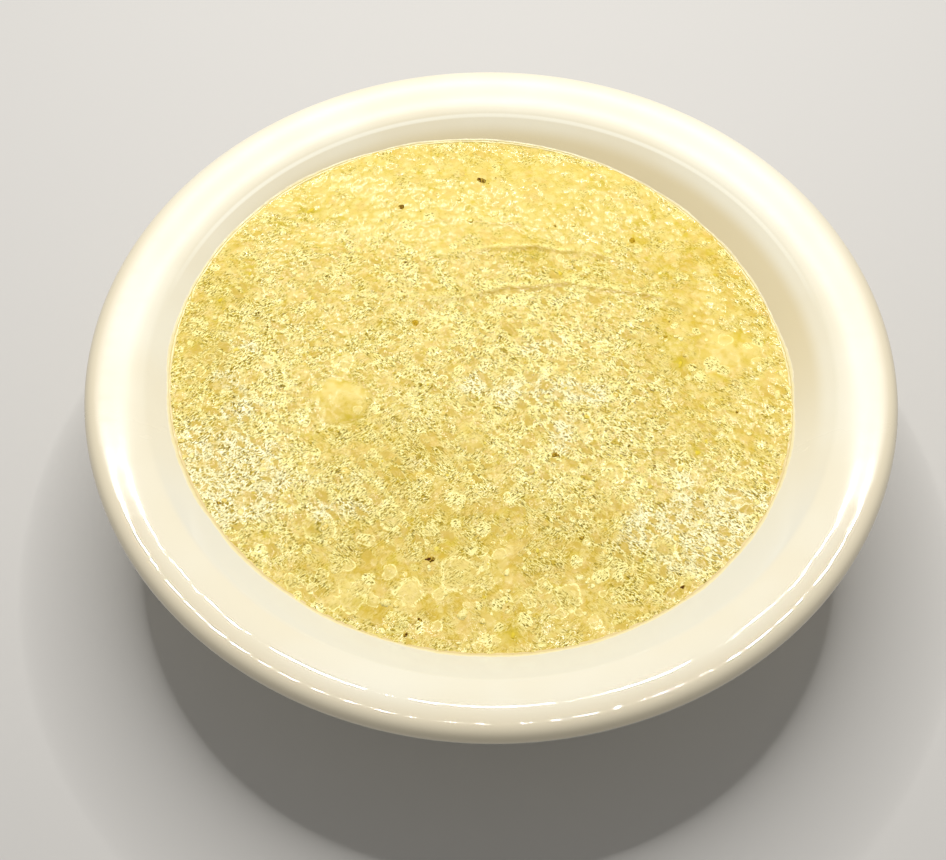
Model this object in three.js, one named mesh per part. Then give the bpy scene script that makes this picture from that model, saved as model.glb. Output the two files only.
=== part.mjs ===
// A round café bowl of thick glazed ware with a broad flange and a rolled lip, filled with cooked grits.
//
// Millimetres, +Z up. The origin is the centre of the foot ring's underside, where the bowl rests.
// +X is to the right of the person eating and +Y is away from that person. The grits stand highest
// at the far left wall and lowest at the near right, as they settled after pouring.
import * as THREE from "three";

// ---- The bowl ----
const RIM_RADIUS = 82.5; // out to the outermost line of the lip
const BOWL_HEIGHT = 42;
const LIP_RADIUS = 2.6; // half the thickness of the round rolled lip
const LIP_END_ANGLE = -105; // degrees on the lip's section, where it meets the flange's underside
const LIP_STEPS = 11; // facets round that section
const WARE_THICKNESS = 4.6; // flange, wall and base

// The inner face falls from the lip to the floor as a chain of arcs that run on smoothly.
// slope is the fall in degrees at the end of each arc. A crest arc bulges up, a hollow arc sags.
const FLANGE = { radius: 17.76, crest: true, slope: 30, steps: 5 }; // gently domed flat
const SHOULDER = { radius: 6.37, crest: true, slope: 40, steps: 2 }; // turns down into the well
const WALL = { radius: 120, crest: true, slope: 50, steps: 3 }; // nearly a straight cone
const WELL = { radius: 48, crest: false, slope: 0, steps: 7 }; // rounds off into the floor

const FOOT_OUTER_RADIUS = 41;
const FOOT_INNER_RADIUS = 36;
const FOOT_EDGE = 1; // rounding of the foot ring's two lower edges
const FOOT_FILLET = 1.2; // between the foot ring and the body above it

// ---- The grits ----
const GAP = 0.3; // between the grits and the ware, so that the two solids stay clear of each other
const EDGE_LEVEL = 33.6; // mean height of the grits' edge on the wall
const SURFACE_RADIUS = 64.2; // mean radius of the surface at that height
// The surface leans and warps: each wave turns once, twice or three times on the way round,
// with its height at the edge and the direction of its crest in degrees from +X towards +Y.
const SURFACE_WAVES = [
  { turns: 1, height: 2.24, crest: 138 },
  { turns: 2, height: 0.71, crest: -30 },
  { turns: 3, height: 0.23, crest: -44 },
];
// Soft mounds where lumps lie under the surface.
const MOUNDS = [
  { x: -30.9, y: -6.9, radius: 6.5, height: 0.9 },
  { x: 49.6, y: 8.7, radius: 6.5, height: 0.8 },
  { x: -4, y: -14.4, radius: 5, height: 0.5 },
  { x: -16, y: 24, radius: 9, height: 0.4 },
  { x: 20, y: 28, radius: 12, height: 0.35 },
  { x: 8, y: -34, radius: 11, height: 0.35 },
];
const MOUND_FADE = 8; // power of the radius's share by which the mounds die out at the wall
const SURFACE_RINGS = 15; // rings of facets from the edge to the middle

const SEGMENTS = 64; // facets round the axis, the same in both solids so that their walls run parallel

const CERAMIC = { color: 0xf6f0dd, roughness: 0.12, metalness: 0 };
const CORN = { color: 0xe8d488, roughness: 0.38, metalness: 0 };

const radians = THREE.MathUtils.degToRad;

// Where the slope in degrees has been reached on an arc that starts at the given station.
function onArc(start, arc, slope) {
  const radius = arc.crest ? arc.radius : -arc.radius;
  const turn = { from: radians(start.slope), to: radians(slope) };
  return {
    r: start.r - radius * (Math.sin(turn.to) - Math.sin(turn.from)),
    z: start.z - radius * (Math.cos(turn.from) - Math.cos(turn.to)),
    slope,
  };
}

// The stations along one arc, without its start.
function stationsAlong(start, arc) {
  return Array.from({ length: arc.steps }, (_, i) => {
    const share = (i + 1) / arc.steps;
    return onArc(start, arc, THREE.MathUtils.lerp(start.slope, arc.slope, share));
  });
}

// A point at a distance from a station, along the normal that points up into the bowl.
function offset(station, distance) {
  const fall = radians(station.slope);
  return new THREE.Vector2(
    station.r - distance * Math.sin(fall),
    station.z + distance * Math.cos(fall),
  );
}

const lipCentre = new THREE.Vector2(RIM_RADIUS - LIP_RADIUS, BOWL_HEIGHT - LIP_RADIUS);
const lipTop = { r: lipCentre.x, z: BOWL_HEIGHT, slope: 0 };
const flange = stationsAlong(lipTop, FLANGE);
const shoulder = stationsAlong(flange.at(-1), SHOULDER);
const crease = shoulder.at(-1);
const wall = stationsAlong(crease, WALL);
const well = stationsAlong(wall.at(-1), WELL);
const floorEdge = well.at(-1);

// Points on the lip's round section, from the flange's underside round the outside to the top.
function lipSection() {
  return Array.from({ length: LIP_STEPS }, (_, i) => {
    const angle = radians(THREE.MathUtils.lerp(LIP_END_ANGLE, 90, i / LIP_STEPS));
    return new THREE.Vector2(Math.cos(angle), Math.sin(angle))
      .multiplyScalar(LIP_RADIUS)
      .add(lipCentre);
  });
}

// The bowl's whole section: up the outside from the axis, over the lip and down the inner face.
function bowlSection() {
  const ceiling = floorEdge.z - WARE_THICKNESS; // underside of the base, inside the foot ring
  const foot = [
    [0, ceiling],
    [FOOT_INNER_RADIUS - FOOT_FILLET, ceiling],
    [FOOT_INNER_RADIUS, ceiling - FOOT_FILLET],
    [FOOT_INNER_RADIUS, FOOT_EDGE],
    [FOOT_INNER_RADIUS + FOOT_EDGE, 0],
    [FOOT_OUTER_RADIUS - FOOT_EDGE, 0],
    [FOOT_OUTER_RADIUS, FOOT_EDGE],
  ].map(([r, z]) => new THREE.Vector2(r, z));

  const inner = [...flange, ...shoulder, ...wall, ...well];
  const underside = inner
    .map((station) => offset(station, -WARE_THICKNESS))
    .filter((point) => point.x > FOOT_OUTER_RADIUS + FOOT_FILLET)
    .reverse();
  const footTop = new THREE.Vector2(FOOT_OUTER_RADIUS, underside[0].y - 2 * FOOT_FILLET);

  return [
    ...foot,
    footTop,
    ...underside,
    ...lipSection(),
    new THREE.Vector2(lipTop.r, lipTop.z),
    ...inner.map((station) => offset(station, 0)),
    new THREE.Vector2(0, floorEdge.z),
  ];
}

// How far the surface stands above its mean level, at a radius as a share of the surface's and an azimuth.
function waveHeight(share, azimuth) {
  return SURFACE_WAVES.reduce((sum, wave) => {
    const phase = wave.turns * (azimuth - radians(wave.crest));
    return sum + wave.height * share ** wave.turns * Math.cos(phase);
  }, 0);
}

function moundHeight(x, y) {
  return MOUNDS.reduce((sum, mound) => {
    const away = Math.hypot(x - mound.x, y - mound.y) / mound.radius;
    return sum + mound.height * Math.exp(-away * away);
  }, 0);
}

// The station on the wall at a given height.
function wallAtHeight(z) {
  const fallCosine = Math.cos(radians(crease.slope)) - (crease.z - z) / WALL.radius;
  return onArc(crease, WALL, THREE.MathUtils.radToDeg(Math.acos(fallCosine)));
}

// The section of the grits before the surface is shaped: up the ware's inner face and in over the top.
function gritsSection() {
  const body = [...well].reverse();
  const lowWall = [...wall].reverse().slice(0, 2);
  const rings = Array.from(
    { length: SURFACE_RINGS + 1 },
    (_, i) => new THREE.Vector2(SURFACE_RADIUS * (1 - i / SURFACE_RINGS), EDGE_LEVEL),
  );
  return {
    points: [
      new THREE.Vector2(0, floorEdge.z + GAP),
      ...body.map((station) => offset(station, GAP)),
      ...lowWall.map((station) => offset(station, GAP)),
      ...rings,
    ],
    firstSurfaceRing: 1 + body.length + lowWall.length,
  };
}

// Turned on a lathe, then each ring of the surface is moved to its uneven height, out to the wall.
function gritsGeometry() {
  const { points, firstSurfaceRing } = gritsSection();
  const geometry = new THREE.LatheGeometry(points, SEGMENTS);
  const position = geometry.getAttribute("position");
  for (let i = 0; i < position.count; i++) {
    const ring = (i % points.length) - firstSurfaceRing;
    if (ring < 0) continue;
    const segment = Math.floor(i / points.length) % SEGMENTS;
    const turned = (segment / SEGMENTS) * 2 * Math.PI; // the lathe starts at -Y and turns towards +X
    const azimuth = turned - Math.PI / 2;
    const share = 1 - ring / SURFACE_RINGS;

    const edge = offset(wallAtHeight(EDGE_LEVEL + waveHeight(1, azimuth)), GAP);
    const radius = edge.x * share;
    const x = radius * Math.cos(azimuth);
    const y = radius * Math.sin(azimuth);
    const mounds = (1 - share ** MOUND_FADE) * moundHeight(x, y);
    const height = EDGE_LEVEL + waveHeight(share, azimuth) + mounds;
    position.setXYZ(i, x, ring === 0 ? edge.y : height, -y);
  }
  return geometry;
}

function latheMesh(name, geometry, material) {
  geometry.rotateX(Math.PI / 2); // a lathe turns about Y: the axis is stood up along Z
  const flat = geometry.toNonIndexed();
  flat.computeVertexNormals();
  const mesh = new THREE.Mesh(flat, new THREE.MeshStandardMaterial(material));
  mesh.name = name;
  return mesh;
}

const bowlOfGrits = new THREE.Group();
bowlOfGrits.add(
  latheMesh("bowl", new THREE.LatheGeometry(bowlSection(), SEGMENTS), CERAMIC),
  latheMesh("grits", gritsGeometry(), CORN),
);

export default bowlOfGrits;
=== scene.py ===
# %% [markdown]
# # A bowl of grits
# A thick café bowl with a broad domed rim, filled with cooked corn grits. The bowl is one turned form,
# so it is drawn as a section and spun. The grits are a wet heap of swollen grains, and grains are too
# many to place one by one with care, so the surface is one fine mesh shaped by rules, with real loose
# grains and flecks laid on it. The lesson goes from the frame and the camera to the bowl, then from
# the largest shapes of the grits down to the smallest.

# %% Load the frame
import random
from math import asin, cos, degrees, pi, radians, sin

import bmesh
import bpy
import numpy as np
from mathutils import Matrix, Vector, kdtree, noise


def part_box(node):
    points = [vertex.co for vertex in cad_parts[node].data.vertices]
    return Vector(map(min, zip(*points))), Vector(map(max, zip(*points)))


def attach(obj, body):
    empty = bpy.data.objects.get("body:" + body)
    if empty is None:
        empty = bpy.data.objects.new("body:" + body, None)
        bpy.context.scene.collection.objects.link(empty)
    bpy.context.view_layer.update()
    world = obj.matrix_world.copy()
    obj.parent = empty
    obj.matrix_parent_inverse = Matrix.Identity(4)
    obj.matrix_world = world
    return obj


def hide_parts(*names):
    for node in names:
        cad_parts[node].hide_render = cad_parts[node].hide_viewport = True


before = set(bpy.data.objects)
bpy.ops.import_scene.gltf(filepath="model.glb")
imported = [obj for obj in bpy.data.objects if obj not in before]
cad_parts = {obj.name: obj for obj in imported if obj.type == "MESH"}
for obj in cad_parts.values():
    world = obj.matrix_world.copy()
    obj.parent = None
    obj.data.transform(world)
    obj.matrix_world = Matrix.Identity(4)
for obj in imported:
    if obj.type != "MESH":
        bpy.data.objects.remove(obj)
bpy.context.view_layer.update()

MM = 0.001  # every size below is written in millimetres times MM

bowl_low, bowl_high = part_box("bowl")
grits_low, grits_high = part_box("grits")
print("bowl", [round(side / MM, 1) for side in bowl_high - bowl_low], "mm")
print("grits", [round(side / MM, 1) for side in grits_high - grits_low], "mm")

# %% [markdown]
# ## The stage
# The bowl stands on a plain pale floor. The camera looks down at it from the eater's side. It is aimed
# a little in front of the middle of the rim, as a hand-held camera is.

# %% Sizes and first helpers
RIM_RADIUS = bowl_high.x
BOWL_HEIGHT = bowl_high.z
LIP_RADIUS = 2.6 * MM
RIM_CENTRE = Vector((0, 0, BOWL_HEIGHT - LIP_RADIUS))

CAMERA_DISTANCE = 308.1 * MM
CAMERA_ELEVATION = radians(54.21)
CAMERA_AIM = RIM_CENTRE + Vector((-3.4, -11.6, -8.4)) * MM
CAMERA_LENS = 57.08  # in millimetres, on a sensor 36 mm wide


def principled(name, **sockets):
    """A new material, with values set straight on its shader's sockets."""
    material = bpy.data.materials.new(name)
    material.use_nodes = True
    shader = material.node_tree.nodes["Principled BSDF"]
    for socket, value in sockets.items():
        shader.inputs[socket.replace("_", " ")].default_value = value
    return material, shader


def linear(red, green, blue):
    """A colour given as three display values from 0 to 255, as the shader's linear RGBA."""
    shares = [value / 255 for value in (red, green, blue)]
    return tuple(s / 12.92 if s <= 0.04045 else ((s + 0.055) / 1.055) ** 2.4 for s in shares) + (1.0,)


def finished(bm, name):
    """Turns a bmesh into a smooth shaded object at the origin, in the scene."""
    mesh = bpy.data.meshes.new(name)
    bm.to_mesh(mesh)
    bm.free()
    mesh.shade_smooth()
    piece = bpy.data.objects.new(name, mesh)
    bpy.context.scene.collection.objects.link(piece)
    return piece


# %% [markdown]
# ### The floor and the camera
# The floor is one flat face, far wider than the camera sees. It isn't attached to any body, so it isn't part
# of the model.

# %% Set the stage
FLOOR_SIZE = 6.0
FLOOR_GREY = linear(204, 202, 199)

floor_bm = bmesh.new()
bmesh.ops.create_grid(floor_bm, x_segments=1, y_segments=1, size=FLOOR_SIZE / 2)
floor = finished(floor_bm, "floor")
floor_paint, _ = principled("floor_paint", Base_Color=FLOOR_GREY, Roughness=0.7)
floor.data.materials.append(floor_paint)

camera = bpy.data.objects.new("camera", bpy.data.cameras.new("camera"))
bpy.context.scene.collection.objects.link(camera)
camera.data.lens = CAMERA_LENS
camera.location = RIM_CENTRE + CAMERA_DISTANCE * Vector((0, -cos(CAMERA_ELEVATION), sin(CAMERA_ELEVATION)))
camera.rotation_euler = (CAMERA_AIM - camera.location).to_track_quat("-Z", "Y").to_euler()
camera.data.clip_start = 1 * MM
bpy.context.scene.camera = camera
print("camera at", [round(c / MM, 1) for c in camera.location], "mm")

# %% [markdown]
# ## The light
# A ring lamp stands behind the bowl, above it. A ring is soft enough to show the roundness of the rim,
# and each wet bump answers it with a short bright stroke, which is what makes the grits look wet. It is
# built as a circle of many small disc lamps, so the glossy near rim shows it as a row of dashes. A dim
# even sky fills the shadows.

# %% The lamps
RING_RADIUS = 177 * MM
RING_CENTRE = Vector((0, 245 * MM, BOWL_HEIGHT + 530 * MM))
RING_LAMPS = 48
RING_WATTS = 4.08
LAMP_SIZE = 12 * MM
LAMP_COLOUR = (1.0, 0.985, 0.955)
SKY_BRIGHTNESS = 0.285
SKY_COLOUR = (1.0, 0.99, 0.97, 1.0)

for number in range(RING_LAMPS):
    turn = 2 * pi * number / RING_LAMPS
    lamp = bpy.data.lights.new(f"ring_lamp_{number}", "AREA")
    lamp.shape = "DISK"
    lamp.size = LAMP_SIZE
    lamp.energy = RING_WATTS / RING_LAMPS
    lamp.color = LAMP_COLOUR
    holder = bpy.data.objects.new(lamp.name, lamp)
    holder.location = RING_CENTRE + RING_RADIUS * Vector((cos(turn), sin(turn), 0))
    bpy.context.scene.collection.objects.link(holder)

sky = bpy.data.worlds.new("sky")
sky.use_nodes = True
sky.node_tree.nodes["Background"].inputs["Color"].default_value = SKY_COLOUR
sky.node_tree.nodes["Background"].inputs["Strength"].default_value = SKY_BRIGHTNESS
bpy.context.scene.world = sky
bpy.context.scene.view_settings.view_transform = "Standard"
print(RING_LAMPS, "lamps give", RING_WATTS, "W")

# %% [markdown]
# ## The bowl's section
# A potter's profile tool cuts a chain of arcs that run on into each other. Here the spin operator is the
# pair of compasses: it turns one vertex about a centre and leaves an arc behind. Every arc starts where
# the last one stopped and in the same direction, so the glaze shows no kink. The inner face and the
# outer face are struck from the same centres, which keeps the wall one thickness.

# %% Draw the section
WARE = 4.6 * MM  # thickness of flange, wall and base
FOOT_OUTER = 41 * MM
FOOT_INNER = 36 * MM
FOOT_ROUNDING = 1 * MM
FOOT_FILLET = 2.6 * MM
LIP_END = radians(-105)  # where the lip's round section meets the flange's underside

# Each arc of the inner face: its radius, whether it bulges up, the slope in degrees where it ends, and
# its steps.
FACE_ARCS = (
    ("flange", 17.76 * MM, True, 30, 14),
    ("shoulder", 6.37 * MM, True, 40, 8),
    ("wall", 120 * MM, True, 50, 16),
    ("well", 48 * MM, False, 0, 18),
)


def normal_at(slope):
    """The direction up out of the inner face, in the section, where the face falls by slope degrees."""
    return Vector((-sin(radians(slope)), 0, cos(radians(slope))))


def strike_centres():
    """Each arc's centre, radius, first and last slope, from the lip's top to the floor of the well."""
    point, slope = Vector((RIM_RADIUS - LIP_RADIUS, 0, BOWL_HEIGHT)), 0
    arcs = {}
    for name, radius, bulges, end, steps in FACE_ARCS:
        signed = radius if bulges else -radius
        centre = point - signed * normal_at(slope)
        arcs[name] = {"centre": centre, "radius": signed, "from": slope, "to": end, "steps": steps}
        point, slope = centre + signed * normal_at(end), end
    return arcs, point


def compass(bm, start, centre, angle, steps):
    """Turns a vertex about a centre, seen from -Y, and returns the vertex at the arc's end."""
    spun = bmesh.ops.spin(bm, geom=[start], cent=centre, axis=(0, -1, 0), angle=angle, steps=steps)
    return next(item for item in spun["geom_last"] if isinstance(item, bmesh.types.BMVert))


def straight(bm, start, x, z):
    """Runs a straight edge from a vertex to a new one."""
    end = bm.verts.new((x, 0, z))
    bm.edges.new((start, end))
    return end


arcs, floor_edge = strike_centres()
print("floor of the well at", round(floor_edge.z / MM, 2), "mm")

# %% [markdown]
# ### The two faces
# Both faces start at the top of the lip. The inner one runs down to the middle of the well. The outer one
# goes round the lip, under the flange and down to the foot ring, whose corners are then rounded by the
# bevel operator, as a sponge rounds them on wet clay.

# %% Draw the two faces
UNDER_START = 6  # degrees of slope at which the flange's underside leaves the lip
LIP_STEPS = 26
LIP_BLEND = 0.35 * MM  # rounding where the lip meets that underside


def draw_inner_face(bm, lip_top):
    end = lip_top
    for arc in arcs.values():
        end = compass(bm, end, arc["centre"], radians(arc["to"] - arc["from"]), arc["steps"])
    return straight(bm, end, 0, floor_edge.z)


def draw_outer_face(bm, lip_top):
    """Round the lip, along the underside by the same centres, then down to the foot ring and the base."""
    lip_centre = RIM_CENTRE + Vector((RIM_RADIUS - LIP_RADIUS, 0, 0))
    lip_end = compass(bm, lip_top, lip_centre, LIP_END - pi / 2, LIP_STEPS)
    first = arcs["flange"]["centre"] + (arcs["flange"]["radius"] - WARE) * normal_at(UNDER_START)
    end = straight(bm, lip_end, first.x, first.z)
    corners = [lip_end, end]
    well = arcs["well"]
    foot_slope = degrees(asin((FOOT_OUTER + FOOT_FILLET / 2 - well["centre"].x) / (WARE - well["radius"])))
    for name, arc in arcs.items():
        slope = UNDER_START if name == "flange" else arc["from"]
        stop = foot_slope if name == "well" else arc["to"]
        end = compass(bm, end, arc["centre"], radians(stop - slope), arc["steps"])
    foot_join = end
    ceiling = floor_edge.z - WARE
    outline = (
        (FOOT_OUTER, foot_join.co.z - FOOT_FILLET), (FOOT_OUTER, 0), (FOOT_INNER, 0), (FOOT_INNER, ceiling),
        (0, ceiling),
    )
    foot = [foot_join]
    for x, z in outline:
        foot.append(straight(bm, foot[-1], x, z))
    rounded = {"segments": 4, "profile": 0.5, "affect": "VERTICES", "material": -1}
    bmesh.ops.bevel(bm, geom=foot[2:5], offset=FOOT_ROUNDING, **rounded)
    bmesh.ops.bevel(bm, geom=foot[0:2], offset=FOOT_FILLET / 2.5, **rounded)
    bmesh.ops.bevel(bm, geom=corners, offset=LIP_BLEND, **rounded)


bowl_bm = bmesh.new()
lip_top = bowl_bm.verts.new((RIM_RADIUS - LIP_RADIUS, 0, BOWL_HEIGHT))
draw_inner_face(bowl_bm, lip_top)
draw_outer_face(bowl_bm, lip_top)
print("section of", len(bowl_bm.verts), "points")

# %% [markdown]
# ## Spin the bowl
# One full spin about the upright axis turns the section into the bowl. use_merge closes the seam, and
# the doubles on the axis are merged before the normals are made to point outwards.

# %% Spin it
BOWL_STEPS = 256

bmesh.ops.spin(
    bowl_bm, geom=bowl_bm.verts[:] + bowl_bm.edges[:], cent=(0, 0, 0), axis=(0, 0, 1),
    angle=2 * pi, steps=BOWL_STEPS, use_merge=True,
)
bmesh.ops.remove_doubles(bowl_bm, verts=bowl_bm.verts, dist=0.005 * MM)
bmesh.ops.recalc_face_normals(bowl_bm, faces=bowl_bm.faces)
bowl = finished(bowl_bm, "glazed_bowl")
print("bowl has", len(bowl.data.polygons), "faces")
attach(bowl, "root")
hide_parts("bowl")

# %% [markdown]
# ## Helpers for materials
# A pattern is a chain of nodes, so small helpers add a node, feed its sockets and hand back its output.
# Every helper takes a tree, which may be a material's or a group's. The first ones add nodes, and map and
# mix what they give.

# %% Helpers that add and mix
def add(tree, kind, **settings):
    """A node of a kind, with its settings made and its sockets fed: in_0=... feeds input 0."""
    node = tree.nodes.new("ShaderNode" + kind)
    for key, value in settings.items():
        if key.startswith("in_"):
            feed(tree, node.inputs[int(key[3:])], value)
        else:
            setattr(node, key, value)
    return node


def feed(tree, socket, value):
    """Links an output socket into a socket, or writes a plain value there."""
    if isinstance(value, bpy.types.NodeSocket):
        tree.links.new(value, socket)
    else:
        socket.default_value = value


def ramp(tree, factor, *stops):
    """A colour ramp from (place, colour) stops, eased between them."""
    node = add(tree, "ValToRGB", in_0=factor)
    node.color_ramp.interpolation = "EASE"
    while len(node.color_ramp.elements) < len(stops):
        node.color_ramp.elements.new(0.5)
    for element, (place, colour) in zip(node.color_ramp.elements, stops):
        element.position = place
        element.color = colour
    return node.outputs["Color"]


def band(tree, value, low, high, to_low=0.0, to_high=1.0):
    """Maps a value that runs from low to high onto to_low to to_high, smoothly."""
    node = add(tree, "MapRange", interpolation_type="SMOOTHSTEP", in_0=value, in_1=low, in_2=high)
    feed(tree, node.inputs[3], to_low)
    feed(tree, node.inputs[4], to_high)
    return node.outputs[0]


def blend(tree, factor, first, second):
    """Mixes two colours by a factor."""
    node = add(tree, "Mix", data_type="RGBA", in_0=factor)
    feed(tree, node.inputs[6], first)
    feed(tree, node.inputs[7], second)
    return node.outputs[2]


# %% [markdown]
# ### Sums of masks
# A mask runs from 0 to 1. Masks are multiplied where both must hold, added where they pile up, and the
# greatest is taken where they overlap.

# %% Helpers for sums
def arithmetic(tree, operation, first, second=0.0):
    """One sum, product or other step of arithmetic on two values."""
    node = add(tree, "Math", operation=operation, in_0=first, in_1=second)
    return node.outputs[0]


def plus(tree, *values):
    """Adds up any number of values."""
    total = values[0]
    for value in values[1:]:
        total = arithmetic(tree, "ADD", total, value)
    return total


def times(tree, *values):
    """Multiplies any number of values."""
    product = values[0]
    for value in values[1:]:
        product = arithmetic(tree, "MULTIPLY", product, value)
    return product


def most(tree, *values):
    """The greatest of any number of values."""
    greatest = values[0]
    for value in values[1:]:
        greatest = arithmetic(tree, "MAXIMUM", greatest, value)
    return greatest


def without(tree, value):
    """What is left of one when a mask is taken away."""
    return arithmetic(tree, "SUBTRACT", 1.0, value)


# %% [markdown]
# ### Patterns and their places
# A pattern has to be read at a place. Object coordinates in millimetres let its size be written as it
# would be measured on the real thing, and they stay put when the piece moves.

# %% Helpers for patterns
def noise_of(tree, place, size, detail=2.0):
    """Smooth noise from 0 to 1 with bumps of a size in millimetres."""
    return add(tree, "TexNoise", in_0=place, in_2=1 / size, in_3=detail).outputs[0]


def attribute_of(tree, name):
    """A value that the mesh keeps at each point."""
    return add(tree, "Attribute", attribute_name=name).outputs["Fac"]


def bumped(tree, height, depth):
    """A normal bent by a height from 0 to 1 that stands for a relief of this depth."""
    bump = add(tree, "Bump")
    bump.inputs["Distance"].default_value = depth
    feed(tree, bump.inputs["Height"], height)
    return bump.outputs[0]


def millimetres(tree, stretch=(1, 1, 1)):
    """Object coordinates in millimetres, so that a texture's scale is one over its size in millimetres."""
    place = add(tree, "TexCoord").outputs["Object"]
    mapping = add(tree, "Mapping", in_0=place)
    mapping.inputs["Scale"].default_value = [s / MM for s in stretch]
    return mapping.outputs[0]


def dress(piece, material):
    """Gives a piece its material, and says how large the finish is."""
    piece.data.materials.append(material)
    print(piece.name, "wears", material.name, "of", len(material.node_tree.nodes), "nodes")


# %% [markdown]
# ## The glaze
# The ware is covered by a clear gloss over a warm cream body. A real glaze isn't one flat colour: it is
# a trace warmer where it pools, and it holds a few iron specks. The lip is painted a little darker with
# painted shade, most at the near side and the sides. A painted highlight marks the crease where the
# shoulder ends at the far side, and painted shade, warmed by the grits' reflected light, darkens the lower
# wall above the grits at the far side and the right, while the near wall is a touch greyer. Spoons leave
# the far half's inside less glossy than the rest. The ring on which the bowl stands is wiped clean before
# firing, so the bare body shows there, dry and sandy.

# %% The colours of the ware
CREAM = linear(241, 236, 217)
CREAM_WARM = linear(238, 230, 206)
# Painted shade for the lip, most at the near side and the sides.
LIP_SHADE = linear(225, 214, 188)
BARE_BODY = linear(206, 190, 164)
IRON_SPECK = linear(120, 108, 92)
# A painted highlight for the crease where the shoulder ends.
CREASE_HIGHLIGHT = linear(255, 252, 236)
# Painted shade, warmed by the grits' reflected light, for the lower wall above the grits.
WALL_SHADE_TINT = linear(226, 212, 174)
NEAR_WALL = linear(233, 230, 216)
CREASE_HEIGHT = 38.98  # in millimetres, where the shoulder ends and the wall starts
SPECK_SPACING = 9  # in millimetres

# %% [markdown]
# ### Where each colour lies
# Every zone is a mask made from the height, the distance from the axis or the distance from the eater,
# with soft ends, and the colours are laid over each other as a potter lays slips.

# %% The glaze's colour
def iron_specks(tree, place):
    """A mask of rare small dots: the middles of a few of the cells of a coarse pattern."""
    cells = add(tree, "TexVoronoi", feature="F1", in_0=place, in_2=1 / SPECK_SPACING).outputs
    dot = band(tree, cells["Distance"], 0.014, 0.03, 1.0, 0.0)
    chosen = add(tree, "SeparateColor", in_0=cells["Color"]).outputs[0]
    return times(tree, dot, band(tree, chosen, 0.86, 0.9))


def glaze_colour(tree, place, bare):
    """The cream, then its specks, the bare foot, the lip's painted shade, the crease's painted highlight, the
    near wall and the painted shade low on the far wall.
    """
    to_right, away_from_eater, height = add(tree, "SeparateXYZ", in_0=place).outputs
    pooled = noise_of(tree, place, 38, 3.0)
    colour = blend(tree, band(tree, pooled, 0.35, 0.7), CREAM, CREAM_WARM)
    colour = blend(tree, times(tree, iron_specks(tree, place), 0.75), colour, IRON_SPECK)
    colour = blend(tree, bare, colour, BARE_BODY)

    flat = add(tree, "VectorMath", operation="MULTIPLY", in_0=place, in_1=(1, 1, 0)).outputs[0]
    out = add(tree, "VectorMath", operation="LENGTH", in_0=flat).outputs["Value"]
    # Painted shade on the lip, less of it at the far side.
    lip_shade = times(tree, band(tree, out, 75.5, 80.5, 0.0, 0.9), band(tree, away_from_eater, 10, 60, 1.0, 0.2))
    colour = blend(tree, lip_shade, colour, LIP_SHADE)

    level = arithmetic(tree, "SUBTRACT", height, CREASE_HEIGHT)
    # A painted highlight along the crease, at the far side only.
    crease_highlight = band(tree, arithmetic(tree, "ABSOLUTE", level), 0.1, 0.4, 1.0, 0.0)
    colour = blend(tree, times(tree, crease_highlight, band(tree, away_from_eater, 10, 45)), colour, CREASE_HIGHLIGHT)

    near = band(tree, away_from_eater, -45, -15, 1.0, 0.0)
    near_wall = times(tree, band(tree, level, -0.3, 0.8, 1.0, 0.0), near)
    colour = blend(tree, near_wall, colour, NEAR_WALL)
    # Painted shade, warmed by the grits' reflected light, low on the far and right wall.
    far_right = plus(tree, away_from_eater, times(tree, to_right, 0.4))
    wall_shade = times(tree, band(tree, level, -3.4, -0.9, 0.9, 0.0), band(tree, far_right, -5, 45))
    return blend(tree, wall_shade, colour, WALL_SHADE_TINT)


# %% [markdown]
# The gloss is all in the roughness, and the waviness of a fired glaze is a very low bump. Faces that look
# down are never wiped or scraped, so they keep more of their gloss.

# %% The glaze material
def glaze_material():
    material, shader = principled("glaze_finish", IOR=1.5)
    tree = material.node_tree
    place = millimetres(tree)
    _, away_from_eater, height = add(tree, "SeparateXYZ", in_0=place).outputs
    bare = band(tree, height, 0.25, 0.6, 1.0, 0.0)
    feed(tree, shader.inputs["Base Color"], glaze_colour(tree, place, bare))

    smears = noise_of(tree, millimetres(tree, (1, 2.6, 1)), 7, 4.0)
    facing = add(tree, "SeparateXYZ", in_0=add(tree, "TexCoord").outputs["Normal"]).outputs[2]
    upward = band(tree, facing, -0.1, 0.15, 0.4, 1.0)
    used = times(tree, band(tree, away_from_eater, -48, -8, 0.02, 0.3), upward)
    smeared = band(tree, smears, 0.45, 0.75, 0.0, 0.04)
    feed(tree, shader.inputs["Roughness"], plus(tree, used, smeared, times(tree, bare, 0.5)))

    waves = noise_of(tree, place, 11, 1.0)
    sand = noise_of(tree, place, 0.4)
    relief = plus(tree, waves, times(tree, sand, bare, 0.3))
    feed(tree, shader.inputs["Normal"], bumped(tree, relief, 0.10 * MM))
    return material


dress(bowl, glaze_material())

# %% [markdown]
# ## The level of the grits
# The grits were poured hot and set as they stood: highest at the far left wall, lowest at the near
# right. Three slow waves round the edge give that, the same three that the solid in the frame has. The
# edge of the grits slides out along the sloping wall where it stands higher.

# %% The surface's level
EDGE_LEVEL = 33.6 * MM
SURFACE_RADIUS = 64.2  # in millimetres, the mean radius of the grits' edge at that level
SURFACE_WAVES = ((1, 2.24 * MM, radians(138)), (2, 0.71 * MM, radians(-30)), (3, 0.23 * MM, radians(-44)))


def wave_height(share, azimuth):
    """How far the surface stands over its mean level, at a share of the radius."""
    waves = [high * share ** n * np.cos(n * (azimuth - crest)) for n, high, crest in SURFACE_WAVES]
    return sum(waves)


def wall_radius(z):
    """The radius of the ware's inner wall at a height."""
    wall = arcs["wall"]
    return wall["centre"].x - np.sqrt(wall["radius"] ** 2 - (z - wall["centre"].z) ** 2)


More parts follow.
